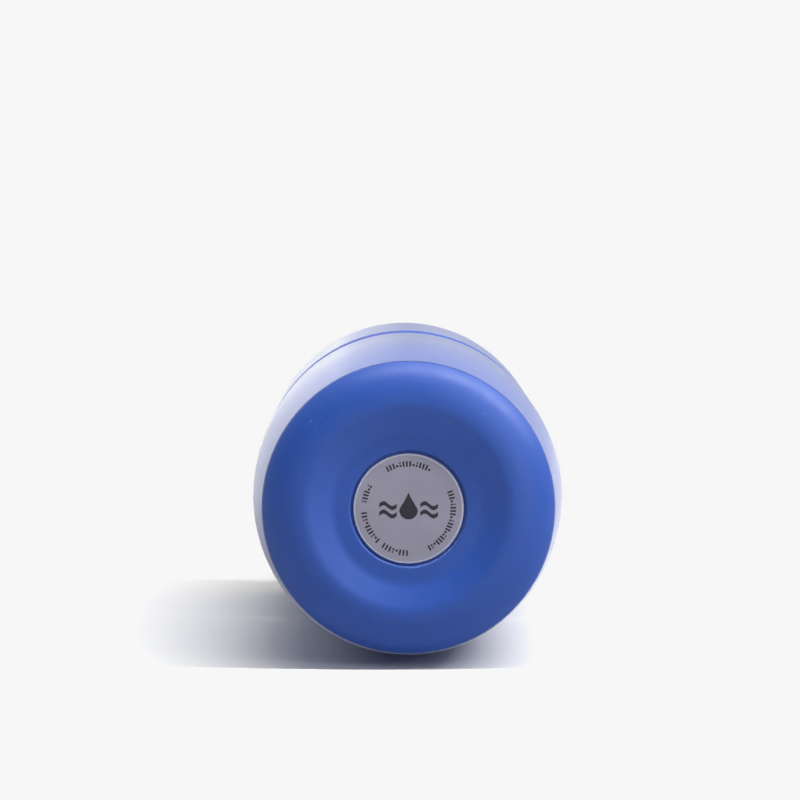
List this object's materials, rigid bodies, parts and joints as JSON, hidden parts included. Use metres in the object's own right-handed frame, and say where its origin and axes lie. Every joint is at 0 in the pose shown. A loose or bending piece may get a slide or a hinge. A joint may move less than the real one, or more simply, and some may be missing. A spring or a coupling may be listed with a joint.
{
  "type": "water bottle",
  "caption": "Insulated double-wall steel cycling bottle with a cage groove, a screw cap and a push-pull drinking nozzle with a vent straw.",
  "frame": {"origin": "middle of the foot ring's plane, where the bottle stands", "axes": "+Z along the bottle's axis from the base to the nozzle; the straw stands off the axis towards +X"},
  "size_m": [0.0734, 0.0734, 0.2443],
  "materials": {
    "coated_steel": "satin blue powder coat",
    "bare_steel": "satin electropolished",
    "brushed_disc": "finely bead-blasted, dark marks",
    "getter": "sintered, dull",
    "seal_glass": "fused bead",
    "adhesive": "soft film",
    "cap_plastic": "fine moulded texture",
    "liner_plastic": "smooth moulded",
    "silicone": "soft matt",
    "mouthpiece": "soft matt silicone",
    "straw_plastic": "translucent"
  },
  "bodies": {
    "bottle": {"outer_shell": "coated_steel", "base_cup": "coated_steel", "inner_flask": "bare_steel", "inner_base": "bare_steel", "getter_clip": "bare_steel", "getter_pellet": "getter", "vacuum_seal": "seal_glass", "disc_adhesive": "adhesive", "base_disc": "brushed_disc"},
    "seal": {"cap_gasket": "silicone"},
    "cap": {"cap_shell": "cap_plastic", "cap_liner": "liner_plastic", "valve_post": "liner_plastic", "post_seal": "silicone", "tower_seal": "silicone", "vent_valve": "silicone", "straw_socket": "silicone", "vent_straw": "straw_plastic"},
    "nozzle": {"nozzle_sleeve": "cap_plastic", "nozzle_mouthpiece": "mouthpiece"}
  },
  "joints": [
    {"name": "cap_lift", "type": "slide", "parent": "bottle", "child": "seal", "axis": [0, 0, 1], "range_m": [0, 0.005]},
    {"name": "cap_turn", "type": "hinge", "parent": "seal", "child": "cap", "pos_m": [0, 0, 0.2], "axis": [0, 0, 1], "range_deg": [0, 450]},
    {"name": "nozzle_pull", "type": "slide", "parent": "cap", "child": "nozzle", "axis": [0, 0, 1], "range_m": [0, 0.0065]}
  ],
  "couplings": [
    {"joint": "cap_lift", "follows": "cap_turn", "m_per_rad": 0.00063662}
  ]
}
